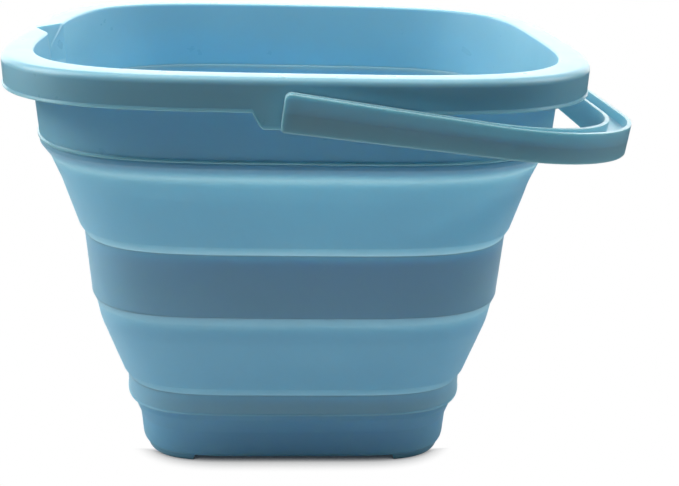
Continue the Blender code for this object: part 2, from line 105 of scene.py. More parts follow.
# Folding walls and bands
FOLD_WALL = 0.0020
HINGE_WALL = 0.0010
HINGE_SPREAD = 0.0026
JOINT_WALL = 0.0007
JOINT_SPREAD = 0.0042
BAND_THINNING = 0.0048
BAND_THINNING_RADIUS = 0.0060
CUFF_HEIGHT = 0.0020
CUFF_WALL = 0.0014
CUFF_CHAMFER = 0.0003
FOLD_LIP = 0.0026
MIDDLE_TOP_Z = 0.1275
MIDDLE_TOP_HALF = 0.1148
MIDDLE_BOTTOM_Z = 0.0936
MIDDLE_BOTTOM_HALF = 0.1124
MIDDLE_WALL = 0.0030
LOWER_TOP_Z = 0.0416
LOWER_TOP_HALF = 0.0954
LOWER_BOTTOM_Z = 0.0298
LOWER_BOTTOM_HALF = 0.0951
LOWER_WALL = 0.0026
UPPER_SHOULDER = (0.0046, 0.0062, 0.0045)
UPPER_WAIST = (0.0097, 0.0187, 0.0400)
LOWER_SHOULDER = (0.0020, 0.0050, 0.0050)
LOWER_WAIST = (0.0039, 0.0155, 0.0400)
HEEL_STEP = 0.0027
HEEL_RISE = 0.0052
HEEL_RADIUS = 0.0040
HEEL_FOOT = 0.0006
BAND_EDGE_RADIUS = 0.0009
BAND_FLARE_HEIGHT = 0.0012
LOWER_FLARE = 0.0006

# A shallow slanting crease that packing flat has left in the upper folding wall
CREASE_TOP = (0.112, 0.164)
CREASE_BOTTOM = (0.062, 0.139)
CREASE_DEPTH = 0.0009
CREASE_SPREAD = 0.0085
CREASE_BACK_Y = -0.06

# Base tray
TRAY_TOP_HALF = 0.0922
TRAY_STEP_Z = 0.0252
TRAY_STEP_RADIUS = 0.0050
TRAY_BEND_HALF = 0.0890
TRAY_BEND_Z = 0.0165
TRAY_BEND_RADIUS = 0.0060
TRAY_BOTTOM_HALF = 0.0877
TRAY_OUTER_RADIUS = 0.0034
TRAY_INNER_RADIUS = 0.0045
TRAY_TOP_Z = 0.0404
TRAY_WALL = 0.0022
TRAY_PANEL = 0.0022
FOOT_HEIGHT = 0.0030
FOOT_HALF = 0.0854
FOOT_START = 0.0570
FOOT_TAPER = 0.0012
FOOT_CORNER_STEPS = 24

# Carry handle
HANDLE_DROOP = math.radians(7.0)
ARM_HEIGHT = 0.0172
GRIP_HEIGHT = 0.0144
ARM_OVERRUN = 0.0080
ARM_END_TOP_RADIUS = 0.0030
ARM_END_BOTTOM_RADIUS = 0.0017
ARM_INNER_Y = 0.1506
ARM_OUTER_Y = 0.1572
GRIP_INNER_X = 0.1540
GRIP_OUTER_X = 0.1674
HANDLE_OUTER_RADIUS = 0.077
HANDLE_FLANGE = 0.0022
HANDLE_WEB = 0.0050
HANDLE_EDGE_RADIUS = 0.0010
PARTING_RIDGE = 0.00008
PARTING_HALF_HEIGHT = 0.0004
ARM_STEPS = 8
HANDLE_CORNER_STEPS = 28
END_STEPS = 6
STUD_RADIUS = 0.0035
STUD_GAP = 0.0003
STUD_HEAD_RADIUS = 0.0050
STUD_HEAD_LENGTH = 0.0020
STUD_HEAD_CHAMFER = 0.0005
STUD_SIDES = 48

# Plastics: the noises' scales are per metre, for patches of tone 45 mm across, smears of polish
# of 14 mm and slow waves of 26 mm. The real moulding grain is about 0.1 mm, too fine to show, so
# it is drawn 0.6 mm coarse, which is a little over one pixel.
PATCH_SCALE = 22.0
SMEAR_SCALE = 70.0
WAVE_SCALE = 38.0
GRAIN_SCALE = 1600.0
PATCH_ROUGHNESS = 0.55
NOISE_LOW = 0.3
NOISE_HIGH = 0.7
TONE_SPREAD = 0.04
POLISH_SPREAD = 0.03
PLASTIC_IOR = 1.49
GLOW_BY_COLOUR = (0.8, 0.95, 1.0)
MILLIMETRE = 0.001

# Studio: how pale the table is at each distance from the tub's middle, with painted shade that
# darkens it near the tub and an edge past which it bounces nothing, and the painted contact
# shadow where the tub stands, which shows in front of it and behind it and fades out along its
# sides
TABLE_LEVELS_AND_PAINTED_SHADE = ((0.10, 0.50), (0.16, 0.86), (0.40, 0.86), (0.46, 0.0))
TABLE_HALF = 6.0
SHADE_DISTANCE = 0.02
SHADE_FULL_Y = 0.078
SHADE_NONE_Y = 0.068
SHADE_SAMPLES = 16
SHADE_DARK = 0.15
SHADE_LIGHT = 0.72
SHADE_COLOUR = (0.02, 0.03, 0.04, 1.0)
ROOM_LEVEL = 0.04
LIGHT_AIM = Vector((0.0, 0.0, 0.1))

# Camera, as fitted to the photo
CAMERA_PLACE = (-0.00836, -0.62511, 0.30586)
CAMERA_YAW = 0.0564
CAMERA_PITCH = 0.3227
CAMERA_ROLL = 0.0265
CAMERA_SENSOR = 36.0
CAMERA_LENS = 58.03
CAMERA_CLIP_START = 0.01


def srgb(code):
    """Linear colour from a hex code."""
    values = [int(code[i : i + 2], 16) / 255 for i in (0, 2, 4)]
    return tuple(v / 12.92 if v <= 0.04045 else ((v + 0.055) / 1.055) ** 2.4 for v in values)


def add_node(tree, kind, settings=None, inputs=None):
    """Adds a node. An input is a value, or (node, output name) to link from."""
    node = tree.nodes.new(kind)
    for key, value in (settings or {}).items():
        setattr(node, key, value)
    for key, value in (inputs or {}).items():
        if isinstance(value, tuple) and isinstance(value[0], bpy.types.Node):
            tree.links.new(value[0].outputs[value[1]], node.inputs[key])
        else:
            node.inputs[key].default_value = value
    return node


def plastic(name, code, roughness, glow, grain, wave):
    """A moulded plastic. Its glow is how far light travels in it, in mm.

    Its grain and wave are how deep the fine grain and the slow unevenness are, in mm.
    """
    material = bpy.data.materials.new(name)
    material.use_nodes = True
    tree = material.node_tree
    shader = tree.nodes["Principled BSDF"]
    place = add_node(tree, "ShaderNodeTexCoord")
    colour = srgb(code)
    patches = add_node(
        tree,
        "ShaderNodeTexNoise",
        inputs={
            "Vector": (place, "Object"),
            "Scale": PATCH_SCALE,
            "Detail": 3.0,
            "Roughness": PATCH_ROUGHNESS,
        },
    )
    tone = add_node(
        tree,
        "ShaderNodeMix",
        {"data_type": "RGBA"},
        {"Factor": (patches, "Fac")},
    )
    darker = [c * (1 - TONE_SPREAD) for c in colour]
    lighter = [min(c * (1 + TONE_SPREAD), 1.0) for c in colour]
    tone.inputs["A"].default_value = (*darker, 1.0)
    tone.inputs["B"].default_value = (*lighter, 1.0)
    tree.links.new(tone.outputs["Result"], shader.inputs["Base Color"])
    smears = add_node(
        tree,
        "ShaderNodeTexNoise",
        inputs={"Vector": (place, "Object"), "Scale": SMEAR_SCALE, "Detail": 4.0},
    )
    polish = add_node(
        tree,
        "ShaderNodeMapRange",
        inputs={
            "Value": (smears, "Fac"),
            "From Min": NOISE_LOW,
            "From Max": NOISE_HIGH,
            "To Min": roughness - POLISH_SPREAD,
            "To Max": roughness + POLISH_SPREAD,
        },
    )
    tree.links.new(polish.outputs["Result"], shader.inputs["Roughness"])
    grains = add_node(
        tree,
        "ShaderNodeTexNoise",
        inputs={"Vector": (place, "Object"), "Scale": GRAIN_SCALE, "Detail": 2.0},
    )
    waves = add_node(
        tree,
        "ShaderNodeTexNoise",
        inputs={"Vector": (place, "Object"), "Scale": WAVE_SCALE, "Detail": 1.0},
    )
    slow = add_node(
        tree,
        "ShaderNodeBump",
        inputs={"Strength": 1.0, "Distance": wave * MILLIMETRE, "Height": (waves, "Fac")},
    )
    fine = add_node(
        tree,
        "ShaderNodeBump",
        inputs={
            "Strength": 1.0,
            "Distance": grain * MILLIMETRE,
            "Height": (grains, "Fac"),
            "Normal": (slow, "Normal"),
        },
    )
    tree.links.new(fine.outputs["Normal"], shader.inputs["Normal"])
    shader.inputs["IOR"].default_value = PLASTIC_IOR
    shader.inputs["Subsurface Weight"].default_value = 1.0
    shader.inputs["Subsurface Radius"].default_value = GLOW_BY_COLOUR
    shader.inputs["Subsurface Scale"].default_value = glow * MILLIMETRE
    return material


def squareness(half):
    """Exponent of the outline at a half width: corners get squarer towards the base."""
    return float(np.interp(half, OUTLINE_HALVES, OUTLINE_POWERS))


def outline_point(half, angle):
    """The outline's point at an angle from +X, for a half width."""
    power = squareness(half)
    along_x = abs(math.cos(angle)) ** power
    along_y = abs(math.sin(angle)) ** power
    radius = half * (along_x + along_y) ** (-1.0 / power)
    return radius * math.cos(angle), radius * math.sin(angle)


def plan_angles():
    """Angles round the outline, closer together at the corners than along the sides."""
    angles = []
    for step in range(4 * QUARTER_STEPS):
        turn = step / QUARTER_STEPS
        crowd = CORNER_CROWDING * math.sin(2 * math.pi * turn)
        angles.append((turn + crowd) * math.pi / 2)
    return angles


def rim_angles():
    """The outline's angles, closer together where the front and rear tabs bend."""
    top = TAB_TOP_WIDTH / 2
    bottom = TAB_BOTTOM_WIDTH / 2
    run = [top + (bottom - top) * step / TAB_STEPS for step in range(TAB_STEPS + 1)]
    offsets = [-x for x in run] + [-x for x in TAB_MIDDLE_OFFSETS[::-1]] + [0.0]
    offsets += list(TAB_MIDDLE_OFFSETS) + run[::-1]
    reach = math.atan2(top + TAB_MARGIN, RIM_HALF)
    angles = []
    for angle in plan_angles():
        if abs(math.remainder(angle - math.pi / 2, math.pi)) > reach:
            angles.append(angle)
    for offset in offsets:
        turn = math.atan2(offset, RIM_HALF)
        angles += [math.pi / 2 + turn, 3 * math.pi / 2 + turn]
    return sorted(angles)


def tab_drop(x):
    """How far the skirt's lower edge hangs down at a distance from the pivot."""
    slope = (TAB_TOP_WIDTH - TAB_BOTTOM_WIDTH) / 2
    share = min(max((TAB_TOP_WIDTH / 2 - abs(x)) / slope, 0.0), 1.0) ** TAB_EASE
    return TAB_DROP * share * share * (3 - 2 * share)


def filleted(corners, steps=6):
    """A closed profile of (half width, height) points, from corners with their radii."""
    points = []
    count = len(corners)
    for index, (half, height, radius) in enumerate(corners):
        here = Vector((half, height))
        before = Vector(corners[index - 1][:2]) - here
        after = Vector(corners[(index + 1) % count][:2]) - here
        opening = before.angle(after)
        if radius <= 0 or opening > STRAIGHT_ANGLE:
            points.append(here)
            continue
        limit = FILLET_LIMIT * min(before.length, after.length)
        reach = min(radius / math.tan(opening / 2), limit)
        radius = reach * math.tan(opening / 2)
        start = here + before.normalized() * reach
        middle = (before.normalized() + after.normalized()).normalized()
        centre = here + middle * (radius / math.sin(opening / 2))
        arm = start - centre
        turn = math.pi - opening
        side = 1 if arm.cross(here + after.normalized() * reach - centre) > 0 else -1
        for step in range(steps + 1):
            swing = Matrix.Rotation(side * turn * step / steps, 2)
            points.append(centre + swing @ arm)
    return points


def skin(bm, rings, closed):
    """Extrudes the first ring of points through the others.

    A closed skin goes back to the first ring, and an open one is capped at both ends.
    """
    place = bm.verts.layers.int.new("place")
    ring = []
    for index, point in enumerate(rings[0]):
        vert = bm.verts.new(point)
        vert[place] = index
        ring.append(vert)
    edges = [bm.edges.new((ring[k - 1], ring[k])) for k in range(len(ring))]
    for points in rings[1:] + (rings[:1] if closed else []):
        made = bmesh.ops.extrude_edge_only(bm, edges=edges)["geom"]
        for vert in made:
            if isinstance(vert, bmesh.types.BMVert):
                vert.co = points[vert[place]]
        edges = [e for e in made if isinstance(e, bmesh.types.BMEdge) and e.is_boundary]
    bmesh.ops.remove_doubles(bm, verts=bm.verts[:], dist=MERGE_DISTANCE)
    if not closed:
        rims = [edge for edge in bm.edges if edge.is_boundary]
        bmesh.ops.holes_fill(bm, edges=rims, sides=0)


def loft(points, angles, drop=None, closed=True):
    """Carries a profile of (half width, height) points round the outline."""
    rings = []
    for index, (half, height) in enumerate(points):
        ring = []
        for angle in angles:
            x, y = outline_point(half, angle)
            hang = drop(index, x) if drop else 0.0
            ring.append((x, y, height - hang))
        rings.append(ring)
    bm = bmesh.new()
    skin(bm, rings, closed)
    return bm


def make_object(bm, name, material=None):
    """Turns a bmesh into a smooth-shaded object, with sharp edges where it bends sharply."""
    bmesh.ops.recalc_face_normals(bm, faces=bm.faces[:])
    mesh = bpy.data.meshes.new(name)
    bm.to_mesh(mesh)
    bm.free()
    if material:
        mesh.materials.append(material)
    mesh.shade_smooth()
    mesh.set_sharp_from_angle(angle=SHARP_ANGLE)
    obj = bpy.data.objects.new(name, mesh)
    bpy.context.scene.collection.objects.link(obj)
    return obj


def combine(target, steps):
    """Joins or cuts with each (operation, guide) in turn, then deletes the guides."""
    for operation, guide in steps:
        modifier = target.modifiers.new(guide.name, "BOOLEAN")
        modifier.operation = operation
        modifier.solver = "EXACT"
        modifier.object = guide
    settle(target)
    for _, guide in steps:
        bpy.data.objects.remove(guide)


def soften(target, width, angle):
    """Rounds every edge that bends by more than an angle, in degrees."""
    modifier = target.modifiers.new("edges", "BEVEL")
    modifier.width = width
    modifier.segments = 3
    modifier.limit_method = "ANGLE"
    modifier.angle_limit = math.radians(angle)
    settle(target)


def settle(target):
    """Makes the modifiers' result the object's own mesh."""
    graph = bpy.context.evaluated_depsgraph_get()
    mesh = bpy.data.meshes.new_from_object(target.evaluated_get(graph))
    old = target.data
    target.modifiers.clear()
    target.data = mesh
    mesh.shade_smooth()
    mesh.set_sharp_from_angle(angle=SHARP_ANGLE)
    bpy.data.meshes.remove(old)
    mesh.name = target.name


def notch_wedge(name, back, thickness, start_drop):
    """A wedge along the pouring notch, ending in a sloping floor."""
    slope = NOTCH_WIDTH / 2 / NOTCH_DEPTH
    growth = thickness * math.hypot(1, slope) / slope
    draft = (BAND_TOP_HALF - BAND_BOTTOM_HALF) / (RIM_TOP_Z - BAND_BOTTOM_Z)
    bm = bmesh.new()
    for drop, depth in ((start_drop, NOTCH_DEPTH), (NOTCH_KNEE_DROP, NOTCH_KNEE_DEPTH)):
        plane = back + RIM_INNER_HALF - draft * drop
        reach = depth + growth - back
        bm.verts.new((-(plane + reach), 0.0, RIM_TOP_Z - drop))
        bm.verts.new((-plane, -reach * slope, RIM_TOP_Z - drop))
        bm.verts.new((-plane, reach * slope, RIM_TOP_Z - drop))
    plane = back + RIM_INNER_HALF - draft * NOTCH_END_DROP
    bm.verts.new((-plane, 0.0, RIM_TOP_Z - NOTCH_END_DROP))
    bmesh.ops.convex_hull(bm, input=bm.verts[:])
    return make_object(bm, name)


def turned(name, profile, height, side):
    """A round shape along Y, from (radius, distance out along it) points."""
    bm = bmesh.new()
    verts = [bm.verts.new((radius, side * out, 0.0)) for radius, out in profile]
    edges = [bm.edges.new(pair) for pair in zip(verts[:-1], verts[1:])]
    bmesh.ops.spin(
        bm,
        geom=verts + edges,
        cent=(0.0, 0.0, 0.0),
        axis=(0.0, 1.0, 0.0),
        angle=math.tau,
        steps=STUD_SIDES,
        use_merge=True,
    )
    bmesh.ops.remove_doubles(bm, verts=bm.verts[:], dist=MERGE_DISTANCE)
    bmesh.ops.translate(bm, verts=bm.verts[:], vec=(0.0, 0.0, height))
    return make_object(bm, name)


def build_rim(material):
    """The rolled rim with its skirt and tabs, the band under it, and the pouring notch."""
    under_top = RIM_TOP_Z - RIM_WALL
    skirt_inner = RIM_HALF - RIM_WALL
    lip_half = BAND_BOTTOM_HALF + LIP
    lip_top = BAND_BOTTOM_Z + LIP_HEIGHT
    corners = [
        (skirt_inner, SKIRT_BOTTOM_Z, 2 * FINE_RADIUS),
        (RIM_HALF + SKIRT_FLARE, SKIRT_BOTTOM_Z, FINE_RADIUS),
        (RIM_HALF - SKIRT_FLARE, SKIRT_BOTTOM_Z + SKIRT_FLARE_HEIGHT, 3 * FINE_RADIUS),
        (RIM_HALF, RIM_TOP_Z, RIM_EDGE_RADIUS),
        (RIM_INNER_HALF, RIM_TOP_Z, RIM_INNER_RADIUS),
        (BAND_BOTTOM_HALF - BAND_WALL, BAND_BOTTOM_Z, 0.0),
        (lip_half, BAND_BOTTOM_Z, 0.0),
        (lip_half, lip_top, 0.0),
        (BAND_BOTTOM_HALF, lip_top + LIP, FINE_RADIUS),
        (BAND_TOP_HALF, under_top, UNDER_RIM_RADIUS),
        (skirt_inner, under_top, UNDER_RIM_RADIUS),
    ]
    points = filleted(corners)
    foot_top = SKIRT_BOTTOM_Z + TAB_HANG_HEIGHT
    foot = [index for index, point in enumerate(points) if point.y < foot_top]
    foot = [index for index in foot if points[index].x > BAND_TOP_HALF + TAB_MARGIN]

    def hang(index, x):
        return tab_drop(x) if index in foot else 0.0

    rim = make_object(loft(points, rim_angles(), hang), "rim_moulding", material)
    radius = STUD_RADIUS + STUD_GAP
    start = RIM_HALF - RIM_WALL - CUT_MARGIN
    end = RIM_HALF + CUT_MARGIN
    profile = [(0.0, start), (radius, start), (radius, end), (0.0, end)]
    combine(
        rim,
        [
            ("UNION", notch_wedge("bulge", BAND_WALL / 2, RIM_WALL, RIM_WALL / 2)),
            ("DIFFERENCE", notch_wedge("notch", -CUT_MARGIN, 0.0, -CUT_MARGIN)),
            ("DIFFERENCE", turned("front_hole", profile, PIVOT_Z, -1)),
            ("DIFFERENCE", turned("rear_hole", profile, PIVOT_Z, 1)),
        ],
    )
    soften(rim, RIM_BEVEL, angle=50)
    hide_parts("rim_frame")
    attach(rim, "rim")


def fold_run(start, bottom_half, bottom, bends):
    """Points down the outside of a folding wall: shoulder, waist, heel and a short upright foot.

    The start is the corners above the shoulder. The bends are the shoulder and the waist, each
    as (step in, drop, radius) from the last of them.
    """
    top_half, top = start[-1][:2]
    corners = [
        *start,
        *((top_half - step, top - drop, radius) for step, drop, radius in bends),
        (bottom_half + HEEL_STEP, bottom + HEEL_RISE, HEEL_RADIUS),
        (bottom_half, bottom + HEEL_FOOT, HEEL_RADIUS),
        (bottom_half, bottom, 0.0),
        (bottom_half / 2, bottom, 0.0),
        (bottom_half / 2, start[0][1], 0.0),
    ]
    return subdivided(filleted(corners)[:-2])


def subdivided(points):
    """The same open run with no two points further apart than the profile's step."""
    result = []
    for point, following in zip(points[:-1], points[1:]):
        pieces = max(1, math.ceil((following - point).length / PROFILE_STEP))
        result += [point.lerp(following, step / pieces) for step in range(pieces)]
    return result + [points[-1]]


def fold_back(run, shoulder, joints):
    """The inside of a folding wall, going back up, thinner at the shoulder and at its joints."""
    inside = []
    for point in reversed(run):
        near = math.exp(-(((point.y - shoulder) / HINGE_SPREAD) ** 2))
        wall = FOLD_WALL + (HINGE_WALL - FOLD_WALL) * near
        near = max(math.exp(-(((point.y - z) / JOINT_SPREAD) ** 2)) for z in joints)
        wall += (JOINT_WALL - wall) * near
        inside.append(Vector((point.x - wall, point.y)))
    return inside


def press_crease(bm):
    """Presses a soft crease into the front of a folding wall, towards its right corner."""
    start = Vector(CREASE_BOTTOM)
    run = Vector(CREASE_TOP) - start
    for vert in bm.verts:
        if vert.co.y > CREASE_BACK_Y or vert.co.x < 0.0:
            continue
        here = Vector((vert.co.x, vert.co.z)) - start
        share = min(max(here.dot(run) / run.length_squared, 0.0), 1.0)
        away = (here - share * run).length / CREASE_SPREAD
        inward = Vector((vert.co.x, vert.co.y, 0.0)).normalized()
        vert.co -= inward * CREASE_DEPTH * math.exp(-away * away)


def build_upper_fold(material):
    """The upper folding wall, with a lip against the rim's band and a hidden cuff inside it."""
    cuff_outer = BAND_BOTTOM_HALF - BAND_WALL - SEAT_GAP
    cuff_inner = cuff_outer - CUFF_WALL
    cuff_top = BAND_BOTTOM_Z + CUFF_HEIGHT
    seat = BAND_BOTTOM_Z - SEAT_GAP
    top = seat - FOLD_LIP
    bottom = MIDDLE_TOP_Z
    bends = (UPPER_SHOULDER, UPPER_WAIST)
    lip = [(BAND_BOTTOM_HALF, height, BAND_EDGE_RADIUS) for height in (seat, top)]
    run = fold_run(lip, MIDDLE_TOP_HALF, bottom, bends)
    wall = [point for point in run if point.y <= top]
    back = fold_back(wall, top - UPPER_SHOULDER[1], (bottom,))
    inside = [Vector((min(point.x, cuff_inner), point.y)) for point in back]
    cuff = [
        Vector((cuff_inner, cuff_top - 2 * CUFF_CHAMFER)),
        Vector((cuff_inner + CUFF_CHAMFER, cuff_top - CUFF_CHAMFER / 3)),
        Vector((cuff_outer, cuff_top)),
        Vector((cuff_outer, seat)),
    ]
    bm = loft(run + inside + cuff, plan_angles())
    press_crease(bm)
    fold = make_object(bm, "upper_folding_wall", material)
    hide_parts("upper_fold")
    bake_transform(fold)


def build_lower_fold(material):
    """The lower folding wall, between the middle band and the lower one."""
    top = MIDDLE_BOTTOM_Z
    bottom = LOWER_TOP_Z
    bends = (LOWER_SHOULDER, LOWER_WAIST)
    run = fold_run([(MIDDLE_BOTTOM_HALF, top, 0.0)], LOWER_TOP_HALF, bottom, bends)
    inside = fold_back(run, top - LOWER_SHOULDER[1], (bottom, top))
    fold = make_object(loft(run + inside, plan_angles()), "lower_folding_wall", material)
    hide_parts("lower_fold")
    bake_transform(fold)


def build_band(name, node, body, sizes, material):
    """An upright band: half width and height at its top and its bottom, wall, foot and flare.

    Its top edge is sharp, since the folding wall above is moulded in one with it, and its wall
    thins towards that edge. The foot is how thick the wall is at the band's lower edge, and the
    flare is how far that edge stands out.
    """
    top_half, top, bottom_half, bottom, wall, foot, flare = sizes
    corners = [
        (bottom_half + flare, bottom, flare / 2),
        (bottom_half, bottom + BAND_FLARE_HEIGHT, flare),
        (top_half, top, 0.0),
        (top_half - JOINT_WALL, top, 0.0),
        (top_half - wall, top - BAND_THINNING, BAND_THINNING_RADIUS),
        (bottom_half - wall, bottom + wall - foot, FINE_RADIUS),
        (bottom_half - foot, bottom, 0.0),
    ]
    band = make_object(loft(filleted(corners), plan_angles()), name, material)
    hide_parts(node)
    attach(band, body)


def build_tray(material):
    """The base tray: a stepped wall, a floor and four feet."""
    corners = [
        (TRAY_BOTTOM_HALF / 2, 0.0, 0.0),
        (TRAY_BOTTOM_HALF, 0.0, TRAY_OUTER_RADIUS),
        (TRAY_BEND_HALF, TRAY_BEND_Z, TRAY_BEND_RADIUS),
        (TRAY_TOP_HALF, TRAY_STEP_Z, TRAY_STEP_RADIUS),
        (TRAY_TOP_HALF, TRAY_TOP_Z, 0.0),
        (TRAY_TOP_HALF - TRAY_WALL, TRAY_TOP_Z, 0.0),
        (TRAY_TOP_HALF - TRAY_WALL, TRAY_STEP_Z, TRAY_STEP_RADIUS),
        (TRAY_BEND_HALF - TRAY_WALL, TRAY_BEND_Z, TRAY_BEND_RADIUS),
        (TRAY_BOTTOM_HALF - TRAY_WALL, TRAY_PANEL, TRAY_INNER_RADIUS),
        (TRAY_BOTTOM_HALF / 2, TRAY_PANEL, 0.0),
    ]
    bm = loft(filleted(corners), plan_angles(), closed=False)
    tray = make_object(bm, "base_moulding", material)
    combine(tray, [("UNION", make_feet())])
    soften(tray, FINE_RADIUS, angle=45)
    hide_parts("base_tray")
    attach(tray, "base")


def make_feet():
    """Four corner feet, each one corner of the underside's outline with slanted sides."""
    bm = bmesh.new()
    for quarter in range(4):
        turn = Matrix.Rotation(quarter * math.pi / 2, 3, "Z")
        rings = []
        for height, growth in ((-FOOT_HEIGHT, 0.0), (TRAY_PANEL / 2, FOOT_TAPER)):
            inner = FOOT_START - growth
            outer = FOOT_HALF + growth
            first = math.atan2(inner, outer)
            sweep = math.pi / 2 - 2 * first
            ring = [Vector((inner, inner, height))]
            for step in range(FOOT_CORNER_STEPS + 1):
                x, y = outline_point(outer, first + sweep * step / FOOT_CORNER_STEPS)
                ring.append(Vector((x, y, height)))
            rings.append([turn @ point for point in ring])
        skin(bm, rings, closed=False)
    return make_object(bm, "feet")


def corner_cut(distance, radius):
    """How much a rounded corner takes off at a distance from the end."""
    short = max(radius - distance, 0.0)
    return radius - math.sqrt(radius * radius - short * short)


def arm_end_stations():
    """Stations at the front arm's free end, where the pocket starts behind an end wall."""
    radius = ARM_END_TOP_RADIUS
    swings = [math.pi / 2 * step / END_STEPS for step in range(END_STEPS + 1)]
    solid = [radius * (1 - math.cos(swing)) for swing in swings]
    places = [(distance, distance > HANDLE_FLANGE) for distance in solid]
    places += [(HANDLE_FLANGE, False), (HANDLE_FLANGE, True)]
    stations = []
    for distance, pocket in sorted(places):
        low = -ARM_HEIGHT / 2 + corner_cut(distance, ARM_END_BOTTOM_RADIUS)
        high = ARM_HEIGHT / 2 - corner_cut(distance, radius)
        x = distance - ARM_OVERRUN
        stations.append((Vector((x, -ARM_OUTER_Y)), Vector((x, -ARM_INNER_Y)), low, high, pocket))
    return stations


def quarter_turn(centre, radius, step):
    """A point of the handle's corner, by steps from the arm to the grip."""
    swing = math.pi / 2 * step / HANDLE_CORNER_STEPS
    return centre + radius * Vector((math.sin(swing), -math.cos(swing)))


def handle_stations():
    """Places along the handle from the front arm's end to the rear arm's."""
    inner_radius = HANDLE_OUTER_RADIUS - (ARM_OUTER_Y - ARM_INNER_Y)
    outer_centre = Vector((GRIP_OUTER_X, -ARM_OUTER_Y)) + Vector((-1, 1)) * HANDLE_OUTER_RADIUS
    inner_centre = Vector((GRIP_INNER_X, -ARM_INNER_Y)) + Vector((-1, 1)) * inner_radius
    half = arm_end_stations()
    start_outer, start_inner = half[-1][:2]
    low = -GRIP_HEIGHT / 2
    high = GRIP_HEIGHT / 2
    for step in range(1, ARM_STEPS):
        share = step / ARM_STEPS
        outer = start_outer.lerp(quarter_turn(outer_centre, HANDLE_OUTER_RADIUS, 0), share)
        inner = start_inner.lerp(quarter_turn(inner_centre, inner_radius, 0), share)
        tall = ARM_HEIGHT + (GRIP_HEIGHT - ARM_HEIGHT) * share
        half.append((outer, inner, -tall / 2, tall / 2, True))
    for step in range(HANDLE_CORNER_STEPS + 1):
        outer = quarter_turn(outer_centre, HANDLE_OUTER_RADIUS, step)
        inner = quarter_turn(inner_centre, inner_radius, step)
        half.append((outer, inner, low, high, True))
    half.append((Vector((GRIP_OUTER_X, 0.0)), Vector((GRIP_INNER_X, 0.0)), low, high, True))
    mirrored = []
    for outer, inner, low, high, pocket in reversed(half[:-1]):
        over = Vector((1, -1))
        mirrored.append((outer * over, inner * over, low, high, pocket))
    return half + mirrored


def handle_section(outer, inner, low, high, pocket):
    """An H on its side: two upright flanges and a web, or a plain bar where it has no pockets."""
    inward = (inner - outer).normalized()
    across = inward * HANDLE_FLANGE
    top = HANDLE_WEB / 2 if pocket else high
    bottom = -HANDLE_WEB / 2 if pocket else low
    places = [
        (outer, low),
        (outer, -PARTING_HALF_HEIGHT),
        (outer - inward * PARTING_RIDGE, 0.0),
        (outer, PARTING_HALF_HEIGHT),
        (outer, high),
        (outer + across, high),
        (outer + across, top),
        (inner - across, top),
        (inner - across, high),
        (inner, high),
        (inner, low),
        (inner - across, low),
        (inner - across, bottom),
        (outer + across, bottom),
        (outer + across, low),
    ]
    return [Vector((*place, height)) for place, height in places]


def build_handle(material):
    """The carry handle with its two studs, folded down on its stop."""
    bm = bmesh.new()
    skin(bm, [handle_section(*station) for station in handle_stations()], closed=False)
    handle = make_object(bm, "handle_moulding", material)
    shoulder = RIM_HALF - RIM_WALL - SEAT_GAP
    end = shoulder - STUD_HEAD_LENGTH
    root = ARM_INNER_Y + HANDLE_FLANGE / 2
    profile = [
        (0.0, end),
        (STUD_HEAD_RADIUS - STUD_HEAD_CHAMFER, end),
        (STUD_HEAD_RADIUS, end + STUD_HEAD_CHAMFER),
        (STUD_HEAD_RADIUS, shoulder),
        (STUD_RADIUS, shoulder),
        (STUD_RADIUS, root),
        (0.0, root),
    ]
    soften(handle, HANDLE_EDGE_RADIUS, angle=60)
    combine(
        handle,
        [
            ("UNION", turned("front_stud", profile, 0.0, -1)),
            ("UNION", turned("rear_stud", profile, 0.0, 1)),
        ],
    )
    droop = Matrix.Rotation(HANDLE_DROOP, 4, "Y")
    handle.data.transform(Matrix.Translation((0.0, 0.0, PIVOT_Z)) @ droop)
    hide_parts("carry_handle")
    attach(handle, "handle")


def area_light(name, place, size, level):
    """A softbox aimed at the tub. At level 1 its face looks as bright as white paper."""
    light = bpy.data.lights.new(name, "AREA")
    light.shape = "RECTANGLE"
    light.size, light.size_y = size
    light.energy = level * math.pi * size[0] * size[1]
    obj = bpy.data.objects.new(name, light)
    obj.location = place
    obj.rotation_euler = (LIGHT_AIM - Vector(place)).to_track_quat("-Z", "Y").to_euler()
    obj.visible_camera = False
    bpy.context.scene.collection.objects.link(obj)
    return obj


